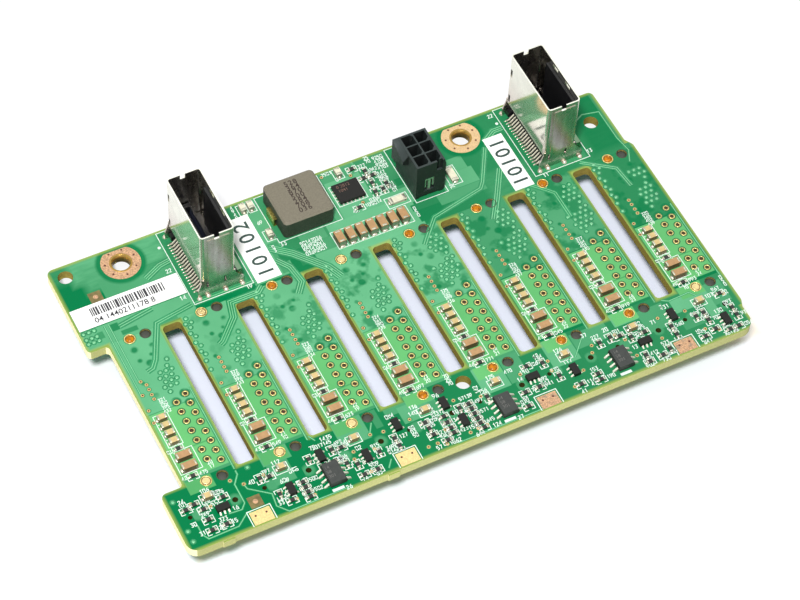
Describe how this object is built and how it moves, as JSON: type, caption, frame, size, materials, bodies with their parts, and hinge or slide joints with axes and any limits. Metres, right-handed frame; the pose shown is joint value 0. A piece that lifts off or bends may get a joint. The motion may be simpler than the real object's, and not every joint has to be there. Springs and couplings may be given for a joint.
{
  "type": "drive backplane board",
  "caption": "Slotted green circuit board that a row of hot-swap drives plugs into from below, with metal-shelled cable sockets and a power header on its upper face.",
  "frame": {"origin": "centre of the board's outline, on the plane of the drive connectors' mating faces", "axes": "+X along the row of drive bays, from the ear with the barcode label to the far end; +Y from the edge with the chips to the edge with the cable sockets; +Z out of the board's upper face"},
  "size_m": [0.1314, 0.0766, 0.0303],
  "materials": {
    "laminate": "solder mask over glass-epoxy laminate",
    "black_resin": "moulded, satin",
    "gold_plate": "gold plated",
    "solder": "solder, satin",
    "bright_shell": "bright plated sheet",
    "header_resin": "moulded, satin",
    "tin_plate": "tin plated",
    "inductor_powder": "pressed powder, matt",
    "chip_resin": "moulded, matt",
    "tan_ceramic": "fired, satin",
    "brown_ceramic": "fired, satin",
    "pale_ceramic": "fired, satin",
    "resistor_glaze": "glazed",
    "label_paper": "coated paper"
  },
  "bodies": {
    "root": {"circuit_board": "laminate", "drive_connector_1": "black_resin", "drive_connector_2": "black_resin", "drive_connector_3": "black_resin", "drive_connector_4": "black_resin", "drive_connector_5": "black_resin", "drive_connector_6": "black_resin", "drive_connector_7": "black_resin", "drive_connector_8": "black_resin", "drive_contacts_1": "gold_plate", "drive_contacts_2": "gold_plate", "drive_contacts_3": "gold_plate", "drive_contacts_4": "gold_plate", "drive_contacts_5": "gold_plate", "drive_contacts_6": "gold_plate", "drive_contacts_7": "gold_plate", "drive_contacts_8": "gold_plate", "board_locks_soldered": "solder", "board_locks_bare": "gold_plate", "cable_socket_shell_1": "bright_shell", "cable_socket_moulding_1": "black_resin", "cable_socket_contacts_1": "gold_plate", "cable_socket_shell_2": "bright_shell", "cable_socket_moulding_2": "black_resin", "cable_socket_contacts_2": "gold_plate", "power_header_moulding": "header_resin", "power_header_pins": "tin_plate", "power_header_clips": "tin_plate", "inductor_body": "inductor_powder", "inductor_terminals": "tin_plate", "regulator_chip": "chip_resin", "regulator_pads": "solder", "buffer_chip_1": "chip_resin", "buffer_chip_2": "chip_resin", "buffer_chip_3": "chip_resin", "buffer_chip_leads": "tin_plate", "small_chips": "chip_resin", "small_chip_leads": "tin_plate", "bay_small_capacitors": "tan_ceramic", "bay_large_capacitors": "brown_ceramic", "bay_front_capacitors": "tan_ceramic", "input_capacitors": "brown_ceramic", "pale_capacitors": "pale_ceramic", "fuses": "pale_ceramic", "chip_resistors": "resistor_glaze", "barcode_label": "label_paper"}
  },
  "joints": []
}
